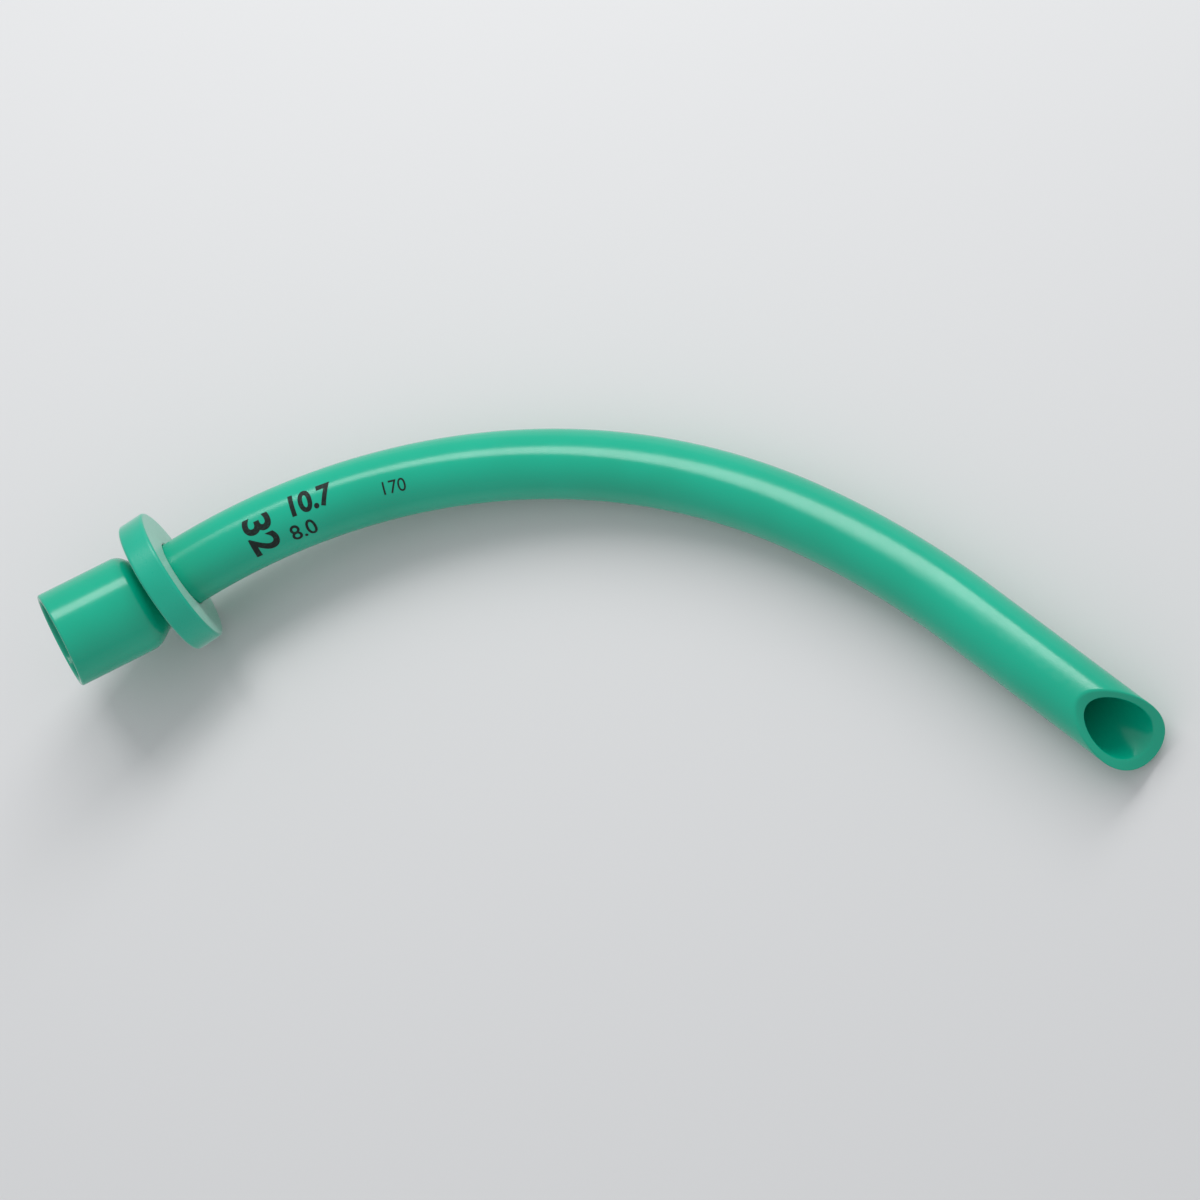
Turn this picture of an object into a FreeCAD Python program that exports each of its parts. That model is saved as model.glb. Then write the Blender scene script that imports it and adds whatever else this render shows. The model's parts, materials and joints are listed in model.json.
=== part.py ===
import FreeCAD, Part
import math
import os
import Sketcher

# A nasopharyngeal airway: a soft curved tube with a bell at the nose end and a bevelled tip at the
# throat end, and a thick flange ring that slides along the tube and stops against the bell's shoulder.
# The tube is modelled in its own bend plane, XY. Its path starts at the shoulder's narrow end, leaves
# along +X and bends towards -Y. At the end both pieces are laid on their side on the floor, Z = 0.

doc = FreeCAD.newDocument("nasal_airway")

# Driving sizes, in millimetres and degrees.
SIZES = [
    ("tube_diameter", 10.7, "outer diameter of the shaft, a third of the printed French size"),
    ("tube_bore", 8.0, "inner diameter of the shaft"),
    ("bend_radius", 104.0, "radius of the centreline where the flange ring slides"),
    ("bend_angle", 60.0, "turn of that arc"),
    ("easing_radius", 150.0, "radius of the flatter arc ahead of the tip"),
    ("easing_angle", 12.0, "turn of the flatter arc"),
    ("tip_length", 34.7, "straight length at the tip, bevel included"),
    ("bevel_length", 10.5, "length of the bevel along the tip"),
    ("bevel_radius", 20.0, "bulge radius of the bevel, seen from the side"),
    ("bevel_turn", 9.0, "angle by which the bevel faces away from +Z, towards the inside of the bend"),
    ("shoulder_length", 2.9, "length of the cone between shaft and bell"),
    ("bell_diameter", 15.5, "outer diameter of the bell"),
    ("bell_bore", 13.6, "inner diameter of the bell"),
    ("bell_length", 13.6, "straight length of the bell"),
    ("bell_lean", 16.0, "angle at which the soft bell leans out of the bend plane"),
    ("bell_round", 3.0, "rounding between the bell and its shoulder"),
    ("bell_inner_round", 2.0, "the same inside the bell, turned with its bore"),
    ("bell_root_bore", 12.7, "inner diameter where that inner rounding meets the shoulder"),
    ("neck_round", 0.5, "rounding between the shoulder and the shaft"),
    ("mouth_edge", 0.2, "width taken off the bell's rim"),
    ("ring_diameter", 22.4, "outer diameter of the flange ring"),
    ("ring_thickness", 4.4, "length of the flange ring along the tube"),
    ("ring_edge", 0.4, "width taken off the ring's outer edges"),
    ("ring_lip", 0.3, "width taken off the ring's bore edges"),
    ("ring_clearance", 0.06, "radial room between the ring and the tube"),
    ("ring_seat_gap", 0.8, "from the shoulder's narrow end to the ring at rest"),
    ("lie_angle", 62.1, "turn of the path from its start to where the tube touches the floor"),
]

sheet = doc.addObject("Spreadsheet::Sheet", "Sizes")
for row, (alias, value, note) in enumerate(SIZES, start=1):
    sheet.set("A%d" % row, alias)
    sheet.set("B%d" % row, str(value))
    sheet.set("C%d" % row, note)
    sheet.setAlias("B%d" % row, alias)
doc.recompute()

AXIS_X = FreeCAD.Vector(1, 0, 0)
AXIS_Y = FreeCAD.Vector(0, 1, 0)
AXIS_Z = FreeCAD.Vector(0, 0, 1)


def size(alias):
    return float(getattr(sheet, alias))


def new_body(label):
    body = doc.addObject("PartDesign::Body", label)
    body.Label = label
    return body


def origin_plane(body, role):
    return [item for item in body.Origin.OriginFeatures if item.Role == role][0]


def attach(body, kind, name, plane):
    """A new sketch or datum plane of a body, lying on one of its planes."""
    item = body.newObject(kind, name)
    item.AttachmentSupport = [(plane, "")]
    item.MapMode = "ObjectXY"
    return item


def new_sketch(body, name, role):
    """A sketch on one of the body's own origin planes."""
    return attach(body, "Sketcher::SketchObject", name, origin_plane(body, role))


def add_circle(sketch, diameter):
    """A circle about the sketch's origin, its diameter bound to an expression."""
    rough_radius = size("tube_diameter") / 2
    circle = Part.Circle(FreeCAD.Vector(), AXIS_Z, rough_radius)
    index = sketch.addGeometry(circle)
    sketch.addConstraint(Sketcher.Constraint("Coincident", index, 3, -1, 1))
    bind = sketch.addConstraint(Sketcher.Constraint("Diameter", index, 2 * rough_radius))
    sketch.setExpression("Constraints[%d]" % bind, diameter)


def add_dimension(sketch, expression, kind, *where):
    """A dimension on a sketch, bound to an expression. The last item of where is the drawn value."""
    bind = sketch.addConstraint(Sketcher.Constraint(kind, *where))
    sketch.setExpression("Constraints[%d]" % bind, expression)


def add_polygon(sketch, corners):
    """Straight edges from corner to corner, joined end to end. Returns the index of the first."""
    first = len(sketch.Geometry)
    for begin, end in zip(corners, corners[1:]):
        sketch.addGeometry(Part.LineSegment(FreeCAD.Vector(*begin), FreeCAD.Vector(*end)))
    for index in range(first, first + len(corners) - 2):
        sketch.addConstraint(Sketcher.Constraint("Coincident", index, 2, index + 1, 1))
    return first


def add_wall_section(sketch, length, inner, outer):
    """The half section of a straight wall of revolution about the sketch's X axis.

    It runs from the sketch's Y axis towards -X. The three sizes are expressions.
    """
    far, low, high = (evaluate(item) for item in (length, inner, outer))
    add_polygon(sketch, [(0, low, 0), (0, high, 0), (-far, high, 0), (-far, low, 0), (0, low, 0)])
    sketch.addConstraint(Sketcher.Constraint("Coincident", 3, 2, 0, 1))
    for index, kind in enumerate(("Vertical", "Horizontal", "Vertical", "Horizontal")):
        sketch.addConstraint(Sketcher.Constraint(kind, index))
    sketch.addConstraint(Sketcher.Constraint("PointOnObject", 0, 1, -2))
    add_dimension(sketch, length, "DistanceX", 1, 2, 1, 1, far)
    add_dimension(sketch, inner, "DistanceY", -1, 1, 0, 1, low)
    add_dimension(sketch, outer, "DistanceY", -1, 1, 0, 2, high)


def evaluate(expression):
    return float(sheet.evalExpression(expression.replace("Sizes.", "")))


def move_off_plane(item, axis, angle, **offsets):
    """Moves and turns a sketch or a datum plane off its plane. Angle and offsets are expressions."""
    item.AttachmentOffset = FreeCAD.Placement(FreeCAD.Vector(), FreeCAD.Rotation(axis, 1))
    item.setExpression("AttachmentOffset.Rotation.Angle", angle)
    for direction, expression in offsets.items():
        item.setExpression("AttachmentOffset.Base." + direction, expression)


def dress_edges(body, name, kind, edges, expression):
    """A fillet or a chamfer on the given edges of the body's last feature."""
    base = body.Tip
    names = []
    for index, edge in enumerate(base.Shape.Edges, start=1):
        if any(edge.isSame(chosen) for chosen in edges):
            names.append("Edge%d" % index)
    dressing = body.newObject("PartDesign::" + kind, name)
    dressing.Base = (base, names)
    dressing.setExpression("Radius" if kind == "Fillet" else "Size", expression)
    doc.recompute()


def circles_at(shape, centre, radius):
    """The edges of a shape that lie on a circle of a radius about a centre."""
    near = 0.01
    found = []
    for edge in shape.Edges:
        curve = edge.Curve
        if not isinstance(curve, Part.Circle):
            continue
        if abs(curve.Radius - radius) < near and curve.Center.distanceToPoint(centre) < near:
            found.append(edge)
    return found


# Where the shoulder's wide end lies: half of the shoulder goes on straight, half leans with the bell.
HALF_SHOULDER = "Sizes.shoulder_length / 2"
BELL_BACK = HALF_SHOULDER + " * (1 + cos(Sizes.bell_lean))"
BELL_UP = HALF_SHOULDER + " * sin(Sizes.bell_lean)"

# Where the path ends, from its start: the ends of its two arcs, then the straight tip.
TIP_TURN = "(Sizes.bend_angle + Sizes.easing_angle)"
TIP_ALONG = (
    "Sizes.bend_radius * sin(Sizes.bend_angle)"
    " + Sizes.easing_radius * (sin(" + TIP_TURN + ") - sin(Sizes.bend_angle))"
    " + Sizes.tip_length * cos(" + TIP_TURN + ")"
)
TIP_ACROSS = (
    "Sizes.bend_radius * (1 - cos(Sizes.bend_angle))"
    " + Sizes.easing_radius * (cos(Sizes.bend_angle) - cos(" + TIP_TURN + "))"
    " + Sizes.tip_length * sin(" + TIP_TURN + ")"
)
TUBE_RADIUS = "Sizes.tube_diameter / 2"

# How far the bevel's outline reaches above and below the shaft's axis, just past its wall, how far it is
# drawn past the tip, and how wide it cuts.
BEVEL_REACH = "0.55 * Sizes.tube_diameter"
BEVEL_FAR = "2 * Sizes.tube_diameter"
BEVEL_WIDE = "1.5 * Sizes.tube_diameter"


def make_airway_tube():
    """The one-piece moulding: shaft, shoulder, bell and bevelled tip."""
    body = new_body("airway_tube")

    # Centreline: the arc that the ring slides on, a flatter arc, and a straight tip.
    # The straight part is drawn past the tip, so that the bevel has something to cut all round.
    path = new_sketch(body, "centreline", "XY_Plane")
    bend_radius = size("bend_radius")
    easing_radius = size("easing_radius")
    spare = size("tube_diameter")
    turn_at_bend_end = math.radians(90 - size("bend_angle"))
    turn_at_tip = turn_at_bend_end - math.radians(size("easing_angle"))
    bend_centre = FreeCAD.Vector(0, -bend_radius, 0)
    bend_out = FreeCAD.Vector(math.cos(turn_at_bend_end), math.sin(turn_at_bend_end), 0)
    easing_centre = bend_centre + bend_out * (bend_radius - easing_radius)
    easing_out = FreeCAD.Vector(math.cos(turn_at_tip), math.sin(turn_at_tip), 0)
    straight_start = easing_centre + easing_out * easing_radius
    straight = FreeCAD.Vector(easing_out.y, -easing_out.x, 0) * (size("tip_length") + spare)
    bend = Part.Circle(bend_centre, AXIS_Z, bend_radius)
    easing = Part.Circle(easing_centre, AXIS_Z, easing_radius)
    path.addGeometry(Part.ArcOfCircle(bend, turn_at_bend_end, math.radians(90)))
    path.addGeometry(Part.ArcOfCircle(easing, turn_at_tip, turn_at_bend_end))
    path.addGeometry(Part.LineSegment(straight_start, straight_start + straight))
    path.addConstraint(Sketcher.Constraint("Coincident", 0, 2, -1, 1))
    path.addConstraint(Sketcher.Constraint("PointOnObject", 0, 3, -2))
    path.addConstraint(Sketcher.Constraint("Tangent", 0, 1, 1, 2))
    path.addConstraint(Sketcher.Constraint("Tangent", 1, 1, 2, 1))
    add_dimension(path, "Sizes.bend_radius", "Radius", 0, bend_radius)
    add_dimension(path, "Sizes.easing_radius", "Radius", 1, easing_radius)
    add_dimension(path, "Sizes.bend_angle", "Angle", 0, math.radians(size("bend_angle")))
    add_dimension(path, "Sizes.easing_angle", "Angle", 1, math.radians(size("easing_angle")))
    drawn_length = "Sizes.tip_length + Sizes.tube_diameter"
    add_dimension(path, drawn_length, "Distance", 2, evaluate(drawn_length))

    wall = new_sketch(body, "shaft_section", "YZ_Plane")
    add_circle(wall, "Sizes.tube_diameter")
    add_circle(wall, "Sizes.tube_bore")
    doc.recompute()
    shaft = body.newObject("PartDesign::AdditivePipe", "shaft")
    shaft.Profile = wall
    shaft.Spine = (path, ["Edge1", "Edge2", "Edge3"])
    doc.recompute()

    # Shoulder: a cone between two circles, the wide one leaning with the bell.
    narrow = new_sketch(body, "shoulder_narrow_end", "YZ_Plane")
    wide = new_sketch(body, "shoulder_wide_end", "YZ_Plane")
    move_off_plane(wide, AXIS_X, "Sizes.bell_lean", y=BELL_UP, z="-" + BELL_BACK)
    for section, outer, inner in (
        (narrow, "Sizes.tube_diameter", "Sizes.tube_bore"),
        (wide, "Sizes.bell_diameter", "Sizes.bell_root_bore"),
    ):
        add_circle(section, outer)
        add_circle(section, inner)
    doc.recompute()
    shoulder = body.newObject("PartDesign::AdditiveLoft", "shoulder")
    shoulder.Profile = narrow
    shoulder.Sections = [wide]
    shoulder.Ruled = True
    doc.recompute()

    # Bell: a straight thin-walled socket, turned about its own leaning axis.
    bell_section = new_sketch(body, "bell_section", "XZ_Plane")
    move_off_plane(bell_section, FreeCAD.Vector(0, 0, -1), "Sizes.bell_lean", x="-" + BELL_BACK, y=BELL_UP)
    draw_bell_section(bell_section)
    doc.recompute()
    bell = body.newObject("PartDesign::Revolution", "bell")
    bell.Profile = bell_section
    bell.ReferenceAxis = (bell_section, ["H_Axis"])
    bell.Angle = 360
    doc.recompute()

    # Bevel: seen from the side, the tip is cut off along a bulging arc. It faces +Z, but for a small
    # turn about the tip's own axis.
    tip_plane = attach(body, "PartDesign::Plane", "tip_plane", origin_plane(body, "XZ_Plane"))
    move_off_plane(tip_plane, FreeCAD.Vector(0, -1, 0), TIP_TURN, x=TIP_ALONG, z=TIP_ACROSS)
    bevel_section = attach(body, "Sketcher::SketchObject", "bevel_section", tip_plane)
    move_off_plane(bevel_section, AXIS_X, "Sizes.bevel_turn")
    draw_bevel(bevel_section)
    doc.recompute()
    bevel = body.newObject("PartDesign::Pocket", "bevel")
    bevel.Profile = bevel_section
    bevel.Type = "Length"
    bevel.Midplane = True
    bevel.setExpression("Length", BEVEL_WIDE)
    doc.recompute()

    # Roundings of the shoulder, then the broken edges of the mouth.
    start = FreeCAD.Vector()
    bell_root = FreeCAD.Vector(-evaluate(BELL_BACK), 0, evaluate(BELL_UP))
    bell_way = FreeCAD.Rotation(AXIS_Y, size("bell_lean")).multVec(FreeCAD.Vector(-1, 0, 0))
    mouth = bell_root + bell_way * size("bell_length")
    for name, kind, centre, diameter, amount in (
        ("bell_rounding", "Fillet", bell_root, "bell_diameter", "bell_round"),
        ("neck_rounding", "Fillet", start, "tube_diameter", "neck_round"),
        ("neck_inner_rounding", "Fillet", start, "tube_bore", "neck_round"),
        ("mouth_outer_edge", "Chamfer", mouth, "bell_diameter", "mouth_edge"),
        ("mouth_inner_edge", "Chamfer", mouth, "bell_bore", "mouth_edge"),
    ):
        edges = circles_at(body.Tip.Shape, centre, size(diameter) / 2)
        dress_edges(body, name, kind, edges, "Sizes." + amount)
    return body


def draw_bell_section(sketch):
    """The bell's wall above its axis, with the root at the sketch's Y axis and the mouth towards -X.

    Inside, an arc leads from the straight bore into the shoulder, so the bore ends in a true circle.
    """
    far = size("bell_length")
    low = size("bell_bore") / 2
    high = size("bell_diameter") / 2
    root_low = size("bell_root_bore") / 2
    radius = size("bell_inner_round")
    turned = math.acos(1 - (low - root_low) / radius)
    back = radius * math.sin(turned)
    circle = Part.Circle(FreeCAD.Vector(-back, low - radius, 0), AXIS_Z, radius)
    upright = math.radians(90)
    sketch.addGeometry(Part.ArcOfCircle(circle, upright - turned, upright))
    mouth = [(-far, low, 0), (-far, high, 0)]
    add_polygon(sketch, [(-back, low, 0)] + mouth + [(0, high, 0), (0, root_low, 0)])
    sketch.addConstraint(Sketcher.Constraint("Tangent", 0, 2, 1, 1))
    sketch.addConstraint(Sketcher.Constraint("Coincident", 4, 2, 0, 1))
    for index, kind in ((1, "Horizontal"), (2, "Vertical"), (3, "Horizontal"), (4, "Vertical")):
        sketch.addConstraint(Sketcher.Constraint(kind, index))
    sketch.addConstraint(Sketcher.Constraint("PointOnObject", 3, 2, -2))
    add_dimension(sketch, "Sizes.bell_length", "DistanceX", 3, 1, 3, 2, far)
    add_dimension(sketch, "Sizes.bell_bore / 2", "DistanceY", -1, 1, 1, 2, low)
    add_dimension(sketch, "Sizes.bell_diameter / 2", "DistanceY", -1, 1, 3, 1, high)
    add_dimension(sketch, "Sizes.bell_root_bore / 2", "DistanceY", -1, 1, 0, 1, root_low)
    add_dimension(sketch, "Sizes.bell_inner_round", "Radius", 0, radius)


def draw_bevel(sketch):
    """What the bevel takes away, seen from the side. The tip's far end lies at the sketch's origin.

    The arc meets the shaft's upper line bevel_length back from the end, and its lower line at the end.
    It runs past both, and straight edges close it clear of the shaft.
    """
    half = evaluate(TUBE_RADIUS)
    back = size("bevel_length")
    radius = size("bevel_radius")
    upper = FreeCAD.Vector(-back, half, 0)
    lower = FreeCAD.Vector(0, -half, 0)
    chord = lower - upper
    inward = FreeCAD.Vector(chord.y, -chord.x, 0).normalize()
    depth = math.sqrt(radius ** 2 - (chord.Length / 2) ** 2)
    centre = (upper + lower) * 0.5 + inward * depth
    top = evaluate(BEVEL_REACH)
    angle_top = math.asin((top - centre.y) / radius)
    angle_bottom = math.asin((-top - centre.y) / radius)
    arc = Part.ArcOfCircle(Part.Circle(centre, AXIS_Z, radius), angle_bottom, angle_top)
    far = evaluate(BEVEL_FAR)
    begin = (arc.EndPoint.x, arc.EndPoint.y, 0)
    end = (arc.StartPoint.x, arc.StartPoint.y, 0)
    sketch.addGeometry(arc)
    add_polygon(sketch, [begin, (far, top, 0), (far, -top, 0), end])
    sketch.addConstraint(Sketcher.Constraint("Coincident", 0, 2, 1, 1))
    sketch.addConstraint(Sketcher.Constraint("Coincident", 3, 2, 0, 1))
    for index, kind in ((1, "Horizontal"), (2, "Vertical"), (3, "Horizontal")):
        sketch.addConstraint(Sketcher.Constraint(kind, index))
    add_dimension(sketch, "Sizes.bevel_radius", "Radius", 0, radius)
    add_dimension(sketch, BEVEL_REACH, "DistanceY", -1, 1, 1, 1, top)
    add_dimension(sketch, BEVEL_REACH, "DistanceY", 2, 2, -1, 1, top)
    add_dimension(sketch, BEVEL_FAR, "DistanceX", -1, 1, 2, 1, far)
    for point, along in ((upper, "Sizes.bevel_length"), (lower, "")):
        index = sketch.addGeometry(Part.Point(point), True)
        sketch.addConstraint(Sketcher.Constraint("PointOnObject", index, 1, 0))
        if along:
            add_dimension(sketch, along, "DistanceX", index, 1, -1, 1, back)
            add_dimension(sketch, TUBE_RADIUS, "DistanceY", -1, 1, index, 1, half)
        else:
            sketch.addConstraint(Sketcher.Constraint("PointOnObject", index, 1, -2))
            add_dimension(sketch, TUBE_RADIUS, "DistanceY", index, 1, -1, 1, half)


def make_flange_ring():
    """The thick soft washer that stops at the nostril, modelled about its own centre, axis along X."""
    body = new_body("flange_ring")
    section = new_sketch(body, "ring_section", "XY_Plane")
    section.setExpression("AttachmentOffset.Base.x", "Sizes.ring_thickness / 2")
    bore_radius = TUBE_RADIUS + " + Sizes.ring_clearance"
    add_wall_section(section, "Sizes.ring_thickness", bore_radius, "Sizes.ring_diameter / 2")
    doc.recompute()
    ring = body.newObject("PartDesign::Revolution", "ring")
    ring.Profile = section
    ring.ReferenceAxis = (section, ["H_Axis"])
    ring.Angle = 360
    doc.recompute()
    for name, reach, amount in (
        ("outer_edges", size("ring_diameter") / 2, "ring_edge"),
        ("bore_edges", evaluate(bore_radius), "ring_lip"),
    ):
        edges = []
        for side in (-1, 1):
            centre = FreeCAD.Vector(side * size("ring_thickness") / 2, 0, 0)
            edges += circles_at(body.Tip.Shape, centre, reach)
        dress_edges(body, name, "Chamfer", edges, "Sizes." + amount)
    return body


def lie_on_floor(tube, ring, ring_place):
    """Lays both pieces on the floor, chord along X, the middle of their underside at the origin.

    The bend plane is turned level, then tilted about the path's own direction where the shaft meets
    the floor, until the ring's rim reaches the floor as well.
    """
    heading = evaluate(TIP_TURN) / 2
    turn = size("lie_angle")
    level = FreeCAD.Placement(FreeCAD.Vector(), FreeCAD.Rotation(AXIS_Z, heading))
    along = FreeCAD.Rotation(AXIS_Z, heading - turn).multVec(AXIS_X)
    reach = size("bend_radius") * (1 - math.cos(math.radians(turn)))
    tilt = 0
    level_enough = 0.001
    most_tries = 20
    for _ in range(most_tries):
        lie = FreeCAD.Placement(FreeCAD.Vector(), FreeCAD.Rotation(along, -tilt)).multiply(level)
        tube.Placement = lie
        ring.Placement = lie.multiply(ring_place)
        tube_box = tube.Shape.optimalBoundingBox(False, False)
        ring_box = ring.Shape.optimalBoundingBox(False, False)
        rise = tube_box.ZMin - ring_box.ZMin
        if abs(rise) < level_enough:
            break
        tilt += math.degrees(math.atan(rise / reach))
    both = FreeCAD.BoundBox(tube_box)
    both.add(ring_box)
    shift = FreeCAD.Vector(-both.Center.x, -both.Center.y, -both.ZMin)
    for body in (tube, ring):
        body.Placement.Base = body.Placement.Base + shift


def check(bodies):
    """Stops before anything is written if a feature failed or a solid isn't sound."""
    for item in doc.Objects:
        if "Invalid" in item.State or "Error" in item.State:
            raise RuntimeError("%s failed: %s" % (item.Name, item.State))
    for body in bodies:
        shape = body.Shape
        if shape.isNull() or not shape.isValid() or len(shape.Solids) != 1:
            raise RuntimeError("%s is not one sound solid" % body.Label)


tube = make_airway_tube()
ring = make_flange_ring()

# The ring's centre rides on the bend's arc, just clear of the shoulder.
seat_turn = math.degrees((size("ring_seat_gap") + size("ring_thickness") / 2) / size("bend_radius"))
bend_middle = FreeCAD.Vector(0, -size("bend_radius"), 0)
ring_place = FreeCAD.Placement(FreeCAD.Vector(), FreeCAD.Rotation(AXIS_Z, -seat_turn), bend_middle)

lie_on_floor(tube, ring, ring_place)
doc.recompute()
check([tube, ring])

os.makedirs("parts", exist_ok=True)
for piece in (tube, ring):
    solid = piece.Shape.Solids[0]
    solid.exportStep(os.path.join("parts", piece.Label + ".step"))
    print("%s: %.2f cm3, %d faces" % (piece.Label, solid.Volume / 1000, len(solid.Faces)))
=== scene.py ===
import json
import math

import bmesh
import bpy
from mathutils import Matrix, Vector


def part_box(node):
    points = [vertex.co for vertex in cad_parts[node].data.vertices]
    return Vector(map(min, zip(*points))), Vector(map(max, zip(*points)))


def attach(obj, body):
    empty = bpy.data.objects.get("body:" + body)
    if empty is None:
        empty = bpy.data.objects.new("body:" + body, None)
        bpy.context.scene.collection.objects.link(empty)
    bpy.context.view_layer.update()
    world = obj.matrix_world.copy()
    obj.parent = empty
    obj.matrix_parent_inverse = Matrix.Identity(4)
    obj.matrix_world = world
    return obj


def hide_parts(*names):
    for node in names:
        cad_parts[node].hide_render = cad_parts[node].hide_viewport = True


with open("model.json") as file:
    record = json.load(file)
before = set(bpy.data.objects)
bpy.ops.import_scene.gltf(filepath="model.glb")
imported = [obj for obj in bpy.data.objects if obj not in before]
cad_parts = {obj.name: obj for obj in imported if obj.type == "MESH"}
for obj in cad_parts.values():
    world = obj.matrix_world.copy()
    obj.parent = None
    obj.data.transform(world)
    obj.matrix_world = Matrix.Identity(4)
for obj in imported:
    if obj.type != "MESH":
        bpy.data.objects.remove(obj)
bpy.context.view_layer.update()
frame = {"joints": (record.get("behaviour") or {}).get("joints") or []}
bpy.ops.object.select_all(action="DESELECT")

# Airway tube. One soft PVC moulding: a curved glossy shaft with an open air passage, a shoulder, a wide
# thin-walled bell that leans a little out of the bend, and a tip cut off along a bulging curve whose
# edges are polished round. It is drawn in its own bend plane and then laid where the solid lies.
shaft_radius = 0.00535
bore_radius = 0.0040
bend_radius = 0.104
bend_angle = math.radians(60)
easing_radius = 0.150
easing_angle = math.radians(12)
tip_length = 0.0347
bevel_length = 0.0105
bevel_radius = 0.020
bevel_turn = math.radians(9)
bevel_lead = 0.006
shoulder_length = 0.0029
bell_radius = 0.00775
bell_bore_radius = 0.0068
bell_length = 0.0136
bell_lean = math.radians(16)
bell_round = 0.0030
bell_inner_round = 0.0020
neck_round = 0.0005
seat_turn = 0.0030 / bend_radius
around = 128
near = 0.00002

bend_middle = Vector((0, -bend_radius, 0))
bend_out = Vector((math.sin(bend_angle), math.cos(bend_angle), 0))
easing_middle = bend_middle + bend_out * (bend_radius - easing_radius)
tip_turn = bend_angle + easing_angle
tip_out = Vector((math.sin(tip_turn), math.cos(tip_turn), 0))
tip_way = Vector((math.cos(tip_turn), -math.sin(tip_turn), 0))
straight_start = easing_middle + tip_out * easing_radius
tip_end = straight_start + tip_way * tip_length
tip_in_bend = Matrix.Translation(tip_end) @ Matrix.Rotation(-tip_turn, 4, "Z")

slide = frame["joints"][0]
pivot = Vector(slide["pos_m"])
bend_up = -Vector(slide["axis"]).normalized()
ring_low, ring_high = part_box("flange_ring")
ring_centre = (ring_low + ring_high) / 2
ring_out = ring_centre - pivot
ring_out = (ring_out - bend_up * ring_out.dot(bend_up)).normalized()
ring_way = ring_out.cross(bend_up)


def place_from(way, out, up, spot):
    """The matrix that carries a drawing's X, Y, Z and origin to these three directions and this spot."""
    turn = Matrix((way, out, up)).transposed().to_4x4()
    return Matrix.Translation(spot) @ turn


ring_place = place_from(ring_way, ring_out, bend_up, ring_centre)
ring_in_bend = (
    Matrix.Translation(bend_middle)
    @ Matrix.Rotation(-seat_turn, 4, "Z")
    @ Matrix.Translation((0, bend_radius, 0))
)
bend_place = ring_place @ ring_in_bend.inverted()


def pick(piece, test):
    """In edit mode, selects the points whose place passes the test, and what lies between them."""
    bpy.ops.mesh.select_all(action="DESELECT")
    drawn = bmesh.from_edit_mesh(piece.data)
    for point in drawn.verts:
        point.select = test(point.co)
    drawn.select_flush(True)
    bmesh.update_edit_mesh(piece.data)


def lay(piece, place):
    """Moves a drawn piece to its place, which then is in its mesh."""
    bpy.ops.object.select_all(action="DESELECT")
    piece.select_set(True)
    bpy.context.view_layer.objects.active = piece
    piece.matrix_world = place @ piece.matrix_world
    bpy.ops.object.transform_apply(location=True, rotation=True, scale=True)


bell_back = shoulder_length / 2 * (1 + math.cos(bell_lean))
bell_rise = shoulder_length / 2 * math.sin(bell_lean)
bell_root = Vector((-bell_back, 0, bell_rise))
bell_way = Vector((-math.cos(bell_lean), 0, math.sin(bell_lean)))


def draw_wall_side(name, narrow, wide, root_round, mouth_radius):
    """One side of the tube's wall: its mouth, its bell, its shoulder, its bends and its straight tip.

    The ring of points at the tip's end makes up the vertex group "cut"."""
    bpy.ops.mesh.primitive_circle_add(vertices=around, radius=narrow, rotation=(0, math.radians(90), 0))
    side = bpy.context.object
    side.name = name
    bpy.ops.object.transform_apply(location=True, rotation=True, scale=True)
    bpy.ops.object.mode_set(mode="EDIT")
    bpy.ops.mesh.select_mode(type="VERT")
    bpy.ops.mesh.select_all(action="SELECT")
    bpy.ops.mesh.extrude_region_move(TRANSFORM_OT_translate={"value": bell_root})
    bpy.ops.transform.resize(value=(wide / narrow,) * 3, center_override=bell_root)
    bpy.ops.transform.rotate(value=-bell_lean, orient_axis="Y", center_override=bell_root)
    bell_steps = 8
    bell_step = bell_way * (bell_length / bell_steps)
    for _ in range(bell_steps):
        bpy.ops.mesh.extrude_region_move(TRANSFORM_OT_translate={"value": bell_step})
    if mouth_radius < wide:
        mouth = bell_root + bell_way * bell_length
        bpy.ops.mesh.extrude_region_move()
        bpy.ops.transform.resize(value=(mouth_radius / wide,) * 3, center_override=mouth)

    pick(side, lambda spot: abs((spot - bell_root).dot(bell_way)) < near)
    slope = math.atan2(wide - narrow, shoulder_length)
    bpy.ops.mesh.bevel(offset=root_round * math.tan(slope / 2), segments=8, affect="EDGES")

    pick(side, lambda spot: abs(spot.x) < near)
    bpy.ops.mesh.spin(steps=48, angle=bend_angle, center=bend_middle, axis=(0, 0, 1))
    bpy.ops.mesh.spin(steps=10, angle=easing_angle, center=easing_middle, axis=(0, 0, 1))
    plain = tip_length - bevel_length - bevel_lead
    overhang = 0.002
    for length in (plain / 3, plain / 3, plain / 3, bevel_length + bevel_lead + overhang):
        bpy.ops.mesh.extrude_region_move(TRANSFORM_OT_translate={"value": tip_way * length})
    bpy.ops.object.vertex_group_assign_new()
    pick(side, lambda spot: abs(spot.x) < near)
    bpy.ops.mesh.bevel(offset=neck_round, segments=6, affect="EDGES")
    bpy.ops.object.mode_set(mode="OBJECT")
    side.vertex_groups[0].name = "cut"
    lay(side, tip_in_bend.inverted())
    return side


outer_side = draw_wall_side("airway_tube_outer", shaft_radius, bell_radius, bell_round, bell_bore_radius)
inner_side = draw_wall_side(
    "airway_tube_inner", bore_radius, bell_bore_radius, bell_inner_round, bell_bore_radius
)

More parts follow.
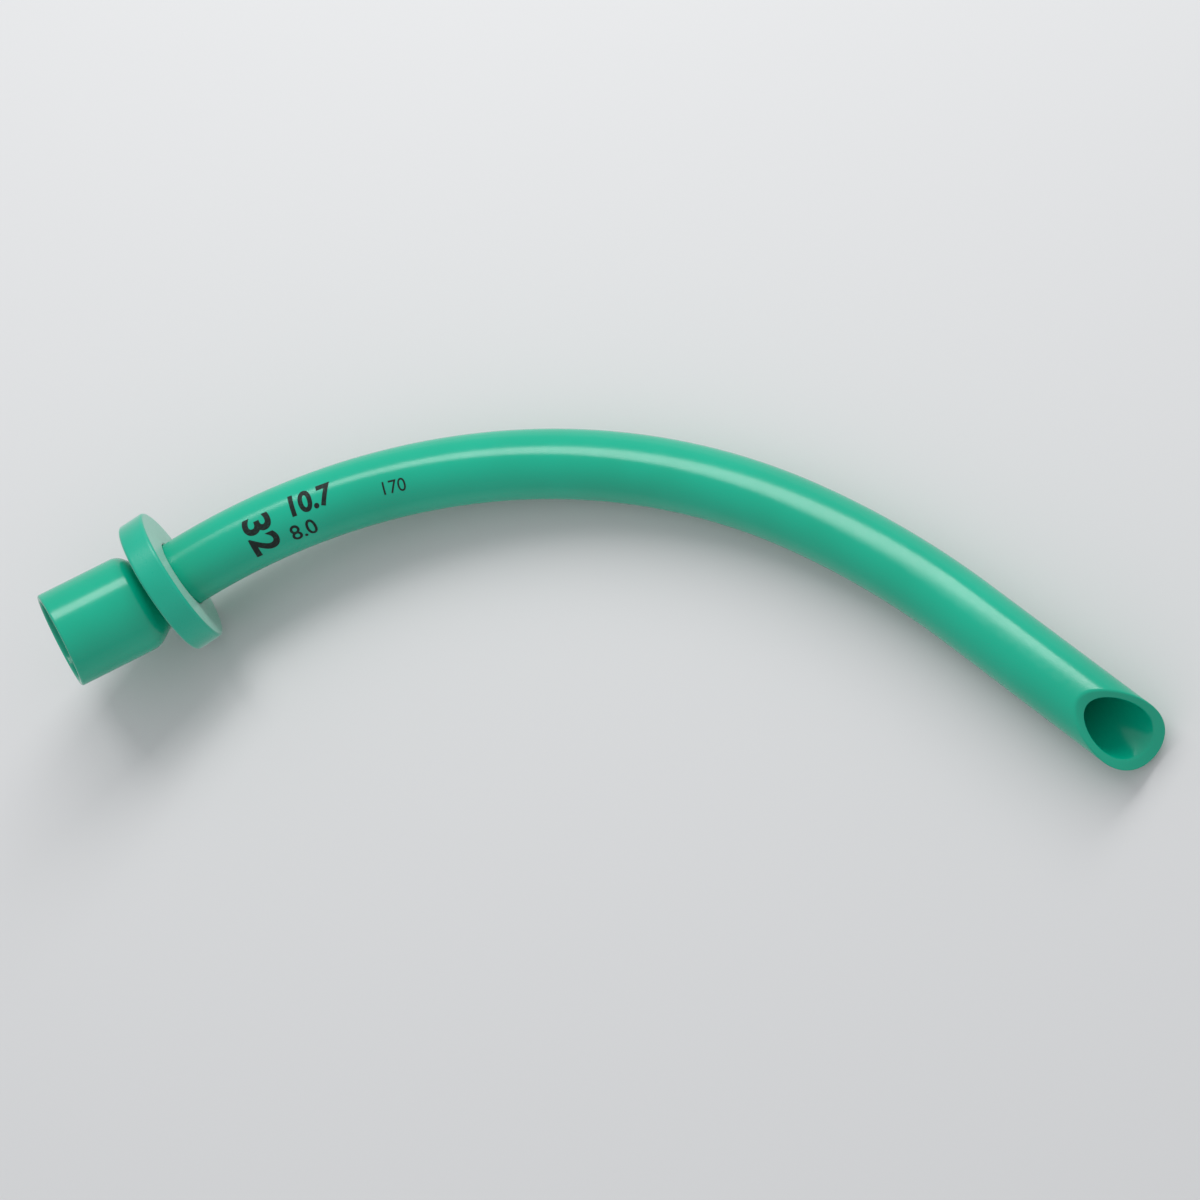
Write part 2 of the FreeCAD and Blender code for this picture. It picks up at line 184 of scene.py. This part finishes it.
# The knife's curved path, seen from the side, onto which both sides' end rings are pressed. The inner
# ring is then stretched along the tip about a spot past its end, so that it moves further in, most at
# the heel, where the thin lip is polished back. Last, the long faces behind both rings are cut shorter.
knife_sides = 1080
knife_width = 0.02
lip_stretch = 1.096
lip_spot = 0.0056
plain_end = -bevel_length - bevel_lead
long_edge = 0.002
upper = Vector((-bevel_length, 0, shaft_radius))
lower = Vector((0, 0, -shaft_radius))
chord = lower - upper
inward = Vector((chord.z, 0, -chord.x)).normalized()
knife_middle = (upper + lower) / 2 + inward * math.sqrt(bevel_radius ** 2 - (chord.length / 2) ** 2)
bpy.ops.mesh.primitive_circle_add(
    vertices=knife_sides, radius=bevel_radius, location=knife_middle, rotation=(math.radians(90), 0, 0)
)
knife = bpy.context.object
bpy.ops.object.transform_apply(location=True, rotation=True, scale=True)
bpy.ops.object.mode_set(mode="EDIT")
bpy.ops.mesh.select_all(action="SELECT")
bpy.ops.transform.translate(value=(0, -knife_width / 2, 0))
bpy.ops.mesh.extrude_region_move(TRANSFORM_OT_translate={"value": (0, knife_width, 0)})
bpy.ops.object.mode_set(mode="OBJECT")
lay(knife, Matrix.Rotation(bevel_turn, 4, "X"))
for side in (outer_side, inner_side):
    press = side.modifiers.new("press", "SHRINKWRAP")
    press.target = knife
    press.wrap_method = "PROJECT"
    press.use_project_x = True
    press.use_positive_direction = False
    press.use_negative_direction = True
    press.vertex_group = "cut"
    bpy.ops.object.select_all(action="DESELECT")
    side.select_set(True)
    bpy.context.view_layer.objects.active = side
    bpy.ops.object.modifier_apply(modifier=press.name)
    bpy.ops.object.mode_set(mode="EDIT")
    if side == inner_side:
        bpy.ops.mesh.select_all(action="DESELECT")
        bpy.ops.object.vertex_group_select()
        bpy.ops.transform.resize(value=(lip_stretch, 1, 1), center_override=(lip_spot, 0, 0))
    pick(side, lambda spot: spot.x > plain_end - near)
    bpy.ops.mesh.select_mode(type="EDGE")
    drawn = bmesh.from_edit_mesh(side.data)
    for edge in drawn.edges:
        ends = [point.co.x for point in edge.verts]
        edge.select = edge.select and max(ends) - min(ends) > long_edge and min(ends) > plain_end - near
    bmesh.update_edit_mesh(side.data)
    bpy.ops.mesh.subdivide(number_cuts=11)
    bpy.ops.mesh.select_mode(type="VERT")
    bpy.ops.object.mode_set(mode="OBJECT")
bpy.data.objects.remove(knife)

bpy.ops.object.select_all(action="DESELECT")
inner_side.select_set(True)
outer_side.select_set(True)
bpy.context.view_layer.objects.active = outer_side
bpy.ops.object.join()
tube = outer_side
tube.name = "airway_tube_moulding"
bpy.ops.object.mode_set(mode="EDIT")
bpy.ops.mesh.select_all(action="SELECT")
bpy.ops.mesh.remove_doubles(threshold=0.000002)

# The two end rings of the tip are bridged, and both edges of the cut are polished round, then the
# mouth's.
cut_round = 0.0003
mouth_round = 0.00035
bpy.ops.mesh.select_mode(type="EDGE")
drawn = bmesh.from_edit_mesh(tube.data)
drawn.verts.index_update()
cut_edges = set()
for edge in drawn.edges:
    edge.select = edge.is_boundary
    if edge.select:
        cut_edges.add(frozenset(point.index for point in edge.verts))
bmesh.update_edit_mesh(tube.data)
bpy.ops.mesh.bridge_edge_loops()
bpy.ops.mesh.select_all(action="SELECT")
bpy.ops.mesh.normals_make_consistent(inside=False)
drawn = bmesh.from_edit_mesh(tube.data)
drawn.verts.index_update()
for edge in drawn.edges:
    edge.select = frozenset(point.index for point in edge.verts) in cut_edges
bmesh.update_edit_mesh(tube.data)
bpy.ops.mesh.bevel(offset=cut_round, segments=4, affect="EDGES")
bpy.ops.mesh.select_all(action="DESELECT")
bpy.ops.mesh.edges_select_sharp(sharpness=math.radians(60))
bpy.ops.mesh.bevel(offset=mouth_round, segments=5, affect="EDGES")
bpy.ops.mesh.select_mode(type="VERT")
bpy.ops.object.mode_set(mode="OBJECT")
bpy.ops.object.shade_smooth()
lay(tube, tip_in_bend)

# Where each point would lie if the tube were pulled straight, for streaks that follow the tube.
straight = tube.data.attributes.new("pulled_straight", "FLOAT_VECTOR", "POINT")
for index, point in enumerate(tube.data.vertices):
    spot = point.co
    turn = math.atan2(spot.x, spot.y + bend_radius)
    if turn < 0 or spot.x < 0:
        place = spot
    elif turn < bend_angle:
        place = Vector((bend_radius * turn, (spot - bend_middle).to_2d().length - bend_radius, spot.z))
    elif (spot - straight_start).dot(tip_way) < 0:
        off = spot - easing_middle
        turn = math.atan2(off.x, off.y)
        length = bend_radius * bend_angle + easing_radius * (turn - bend_angle)
        place = Vector((length, off.to_2d().length - easing_radius, spot.z))
    else:
        off = spot - straight_start
        length = bend_radius * bend_angle + easing_radius * easing_angle + off.dot(tip_way)
        place = Vector((length, off.dot(tip_out), spot.z))
    straight.data[index].vector = place

lay(tube, bend_place)
even = tube.modifiers.new("even_shading", "WEIGHTED_NORMAL")
even.keep_sharp = True
bpy.ops.object.modifier_apply(modifier=even.name)

# Moulded plastic's skin: slow waves that make reflections wander, and a fine grain.
skin = bpy.data.node_groups.new("moulded_skin", "ShaderNodeTree")
skin.interface.new_socket(name="Place", in_out="INPUT", socket_type="NodeSocketVector")
for socket in ("Wave Scale", "Grain Scale", "Grain Share"):
    skin.interface.new_socket(name=socket, in_out="INPUT", socket_type="NodeSocketFloat")
for socket in ("Tone", "Grain", "Height"):
    skin.interface.new_socket(name=socket, in_out="OUTPUT", socket_type="NodeSocketFloat")
nodes = skin.nodes
links = skin.links
given = nodes.new("NodeGroupInput")
given.location = (-700, 0)
waves = nodes.new("ShaderNodeTexNoise")
waves.location = (-450, 150)
waves.inputs["Detail"].default_value = 2.0
grain = nodes.new("ShaderNodeTexNoise")
grain.location = (-450, -150)
grain.inputs["Detail"].default_value = 3.0
grain.inputs["Roughness"].default_value = 0.65
both = nodes.new("ShaderNodeMix")
both.location = (-150, 0)
result = nodes.new("NodeGroupOutput")
result.location = (100, 0)
links.new(given.outputs["Place"], waves.inputs["Vector"])
links.new(given.outputs["Place"], grain.inputs["Vector"])
links.new(given.outputs["Wave Scale"], waves.inputs["Scale"])
links.new(given.outputs["Grain Scale"], grain.inputs["Scale"])
links.new(given.outputs["Grain Share"], both.inputs["Factor"])
links.new(waves.outputs["Fac"], both.inputs["A"])
links.new(grain.outputs["Fac"], both.inputs["B"])
links.new(waves.outputs["Fac"], result.inputs["Tone"])
links.new(grain.outputs["Fac"], result.inputs["Grain"])
links.new(both.outputs["Result"], result.inputs["Height"])


def mould_plastic(name, place, waves, grains, grain_share, relief, tones, gloss):
    """A plastic whose tone, roughness and relief come from the moulded skin.

    place is the node and the output that give the place. waves and grains are counts per metre, relief
    is in metres, tones are the darkest and lightest colours, and gloss the least and most roughness."""
    plastic = bpy.data.materials.new(name)
    plastic.use_nodes = True
    nodes = plastic.node_tree.nodes
    links = plastic.node_tree.links
    body = nodes["Principled BSDF"]
    body.inputs["IOR"].default_value = 1.45
    where = nodes.new(place[0])
    where.location = (-1100, 0)
    surface = nodes.new("ShaderNodeGroup")
    surface.node_tree = skin
    surface.location = (-850, 0)
    surface.inputs["Wave Scale"].default_value = waves
    surface.inputs["Grain Scale"].default_value = grains
    surface.inputs["Grain Share"].default_value = grain_share
    colour = nodes.new("ShaderNodeValToRGB")
    colour.location = (-550, 200)
    rough = nodes.new("ShaderNodeMapRange")
    rough.location = (-550, -50)
    noise_ends = (0.3, 0.7)
    for end, stop in enumerate(colour.color_ramp.elements):
        stop.position = noise_ends[end]
        stop.color = tones[end]
    for end, which in enumerate(("Min", "Max")):
        rough.inputs["From " + which].default_value = noise_ends[end]
        rough.inputs["To " + which].default_value = gloss[end]
    bump = nodes.new("ShaderNodeBump")
    bump.location = (-300, -300)
    bump.inputs["Strength"].default_value = 1.0
    bump.inputs["Distance"].default_value = relief
    links.new(where.outputs[place[1]], surface.inputs["Place"])
    links.new(surface.outputs["Tone"], colour.inputs["Fac"])
    links.new(surface.outputs["Grain"], rough.inputs["Value"])
    links.new(surface.outputs["Height"], bump.inputs["Height"])
    links.new(colour.outputs["Color"], body.inputs["Base Color"])
    links.new(rough.outputs["Result"], body.inputs["Roughness"])
    links.new(bump.outputs["Normal"], body.inputs["Normal"])
    return plastic


tube_plastic = mould_plastic(
    "soft_green_pvc",
    place=("ShaderNodeAttribute", "Vector"),
    waves=60,
    grains=900,
    grain_share=0.15,
    relief=0.00002,
    tones=((0.0, 0.355, 0.215, 1), (0.0, 0.395, 0.245, 1)),
    gloss=(0.16, 0.24),
)
tube_plastic.node_tree.nodes["Attribute"].attribute_name = "pulled_straight"
tube.data.materials.clear()
tube.data.materials.append(tube_plastic)
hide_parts("airway_tube")
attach(tube, "tube")

# Sizes printed on the shaft. Thin black ink pressed onto the curved skin: the gauge number stands
# across the tube, and the two diameters and the length in millimetres run along it.
ink = bpy.data.materials.new("black_print_ink")
ink.use_nodes = True
nodes = ink.node_tree.nodes
links = ink.node_tree.links
body = nodes["Principled BSDF"]
body.inputs["Specular IOR Level"].default_value = 0.2
where = nodes.new("ShaderNodeTexCoord")
where.location = (-900, 0)
specks = nodes.new("ShaderNodeTexNoise")
specks.location = (-700, 0)
specks.inputs["Scale"].default_value = 2500
specks.inputs["Detail"].default_value = 4
cover = nodes.new("ShaderNodeValToRGB")
cover.location = (-450, 100)
cover.color_ramp.elements[0].position = 0.25
cover.color_ramp.elements[0].color = (0.012, 0.05, 0.035, 1)
cover.color_ramp.elements[1].position = 0.5
cover.color_ramp.elements[1].color = (0.008, 0.014, 0.012, 1)
dull = nodes.new("ShaderNodeMapRange")
dull.location = (-450, -150)
dull.inputs["To Min"].default_value = 0.35
dull.inputs["To Max"].default_value = 0.6
links.new(where.outputs["Object"], specks.inputs["Vector"])
links.new(specks.outputs["Fac"], cover.inputs["Fac"])
links.new(specks.outputs["Fac"], dull.inputs["Value"])
links.new(cover.outputs["Color"], body.inputs["Base Color"])
links.new(dull.outputs["Result"], body.inputs["Roughness"])

# Each row is a print's name, its figures, its place along the bend, its turn round the shaft in
# degrees, its height, how bold it is, and whether it stands across the tube.
prints = (
    ("gauge", "32", 0.0200, -34, 0.0062, 0.028, True),
    ("outer_diameter", "10.7", 0.0292, -13, 0.0044, 0.035, False),
    ("bore", "8.0", 0.0268, -57, 0.0036, 0.010, False),
    ("length", "170", 0.0430, -31, 0.0029, 0.0, False),
)
fold = 0.00006
pitch = 0.0004
halves = ((Vector((1, 0, 0)), 18), (Vector((0, 1, 0)), 9))
exact = 0.000001
lift = 0.000015
film_thickness = 0.00001
for name, figures, along, tilt, height, weight, across in prints:
    bpy.ops.object.text_add()
    figure = bpy.context.object
    figure.name = "print_" + name
    figure.data.body = figures
    figure.data.size = height
    figure.data.offset = weight * height
    figure.data.align_x = "CENTER"
    figure.data.align_y = "CENTER"
    figure.data.resolution_u = 8
    bpy.ops.object.convert(target="MESH")
    figure = bpy.context.object

    # Points that all but meet are joined, which takes out the tiny folds of a bold outline. The flat
    # figures are then scored into small squares, so that they can follow the round shaft.
    bpy.ops.object.mode_set(mode="EDIT")
    bpy.ops.mesh.select_all(action="SELECT")
    bpy.ops.mesh.remove_doubles(threshold=fold)
    for score, steps in halves:
        for step in range(-steps, steps + 1):
            bpy.ops.mesh.select_all(action="SELECT")
            bpy.ops.mesh.bisect(plane_co=score * (step * pitch), plane_no=score, threshold=exact)
    bpy.ops.object.mode_set(mode="OBJECT")

    turn = along / bend_radius
    way = Vector((math.cos(turn), -math.sin(turn), 0))
    out = Vector((math.sin(turn), math.cos(turn), 0))
    lean = math.radians(tilt)
    face = Vector((0, 0, math.cos(lean))) + out * math.sin(lean)
    up = Vector((0, 0, -math.sin(lean))) + out * math.cos(lean)
    spot = bend_middle + out * bend_radius + face * (shaft_radius + 0.001)
    reading, top = (-up, way) if across else (way, up)
    press = figure.modifiers.new("press", "SHRINKWRAP")
    press.target = tube
    press.wrap_method = "PROJECT"
    press.use_project_z = True
    press.use_positive_direction = False
    press.use_negative_direction = True
    press.wrap_mode = "ABOVE_SURFACE"
    press.offset = lift
    figure.matrix_world = bend_place @ place_from(reading, top, face, spot)
    bpy.ops.object.modifier_apply(modifier=press.name)
    film = figure.modifiers.new("film", "SOLIDIFY")
    film.thickness = film_thickness
    film.offset = 1
    bpy.ops.object.modifier_apply(modifier=film.name)
    lay(figure, Matrix.Identity(4))
    bpy.ops.object.shade_smooth_by_angle(angle=math.radians(40))
    figure.data.materials.clear()
    figure.data.materials.append(ink)
    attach(figure, "tube")

# Flange ring. A thick soft washer with a dull, finely grained face, stretched over the shaft, where it
# grips but can be slid. Its section is turned once round, and all its edges are slightly rounded.
ring_radius = 0.0112
ring_thickness = 0.0044
ring_hole_radius = 0.00541
ring_round = 0.0005
ring_lip_round = 0.0003
bpy.ops.mesh.primitive_plane_add(size=1)
ring = bpy.context.object
ring.name = "flange_ring_washer"
bpy.ops.object.mode_set(mode="EDIT")
bpy.ops.mesh.select_all(action="SELECT")
bpy.ops.transform.resize(value=(ring_thickness, ring_radius - ring_hole_radius, 1))
bpy.ops.transform.translate(value=(0, (ring_radius + ring_hole_radius) / 2, 0))
bpy.ops.mesh.select_mode(type="VERT")
pick(ring, lambda spot: spot.y > ring_radius - near)
bpy.ops.mesh.bevel(offset=ring_round, segments=5, affect="VERTICES")
pick(ring, lambda spot: spot.y < ring_hole_radius + near)
bpy.ops.mesh.bevel(offset=ring_lip_round, segments=4, affect="VERTICES")
bpy.ops.mesh.select_all(action="SELECT")
bpy.ops.mesh.delete(type="ONLY_FACE")
bpy.ops.mesh.select_all(action="SELECT")
bpy.ops.mesh.spin(steps=160, angle=math.radians(360), center=(0, 0, 0), axis=(1, 0, 0))
bpy.ops.mesh.select_all(action="SELECT")
bpy.ops.mesh.remove_doubles(threshold=0.00001)
bpy.ops.mesh.normals_make_consistent(inside=False)
bpy.ops.object.mode_set(mode="OBJECT")
bpy.ops.object.shade_smooth()
lay(ring, ring_place)
even = ring.modifiers.new("even_shading", "WEIGHTED_NORMAL")
bpy.ops.object.modifier_apply(modifier=even.name)
ring_plastic = mould_plastic(
    "dull_green_pvc",
    place=("ShaderNodeTexCoord", "Object"),
    waves=90,
    grains=2600,
    grain_share=0.6,
    relief=0.00003,
    tones=((0.0, 0.34, 0.215, 1), (0.004, 0.40, 0.26, 1)),
    gloss=(0.27, 0.38),
)
dusty = ring_plastic.node_tree.nodes["Principled BSDF"]
dusty.inputs["Sheen Weight"].default_value = 0.7
dusty.inputs["Sheen Roughness"].default_value = 0.3
ring.data.materials.clear()
ring.data.materials.append(ring_plastic)
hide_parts("flange_ring")
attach(ring, "flange")

# Floor. A plain pale sheet of studio paper under the airway.
bpy.ops.mesh.primitive_plane_add(size=8, location=(0, 0, 0))
floor = bpy.context.object
floor.name = "pale_floor"
paper = bpy.data.materials.new("pale_paper")
paper.use_nodes = True
paper.node_tree.nodes["Principled BSDF"].inputs["Base Color"].default_value = (0.64, 0.64, 0.64, 1)
paper.node_tree.nodes["Principled BSDF"].inputs["Roughness"].default_value = 0.9
floor.data.materials.append(paper)

# Camera. It looks down on the lying airway from in front and a little to the right, with a long lens.
view_right = Vector((0.92066, 0.07056, -0.38393))
view_up = Vector((0.02416, 0.97134, 0.23645))
view_back = Vector((0.38961, -0.22697, 0.89258))
camera_data = bpy.data.cameras.new("camera")
camera = bpy.data.objects.new("camera", camera_data)
bpy.context.scene.collection.objects.link(camera)
camera.matrix_world = place_from(view_right, view_up, view_back, Vector((0.31240, -0.18146, 0.71967)))
camera_data.sensor_fit = "HORIZONTAL"
camera_data.angle = math.radians(12.812)
camera_data.clip_start = 0.01
bpy.context.scene.camera = camera


# Light. A pale room, and one long soft box high behind the airway, whose reflection draws the strip of
# light along the shaft.
def hang_softbox(name, way, distance, width, height, power, level):
    """A rectangular light aimed at the middle of the airway, its width laid along level."""
    lamp_data = bpy.data.lights.new(name, "AREA")
    lamp_data.shape = "RECTANGLE"
    lamp_data.size = width
    lamp_data.size_y = height
    lamp_data.energy = power
    lamp = bpy.data.objects.new(name, lamp_data)
    bpy.context.scene.collection.objects.link(lamp)
    back = way.normalized()
    side = (level - back * level.dot(back)).normalized()
    lamp.matrix_world = place_from(side, back.cross(side), back, back * distance)


world = bpy.data.worlds.new("room")
bpy.context.scene.world = world
world.use_nodes = True
world.node_tree.nodes["Background"].inputs["Color"].default_value = (0.95, 0.97, 1.0, 1)
world.node_tree.nodes["Background"].inputs["Strength"].default_value = 0.68
hang_softbox(
    "long_softbox",
    way=Vector((-0.048, 0.697, 0.716)),
    distance=0.5,
    width=0.168,
    height=0.539,
    power=1.85,
    level=Vector((-0.631, 0.534, -0.562)),
)

bpy.context.scene.view_settings.view_transform = "Standard"
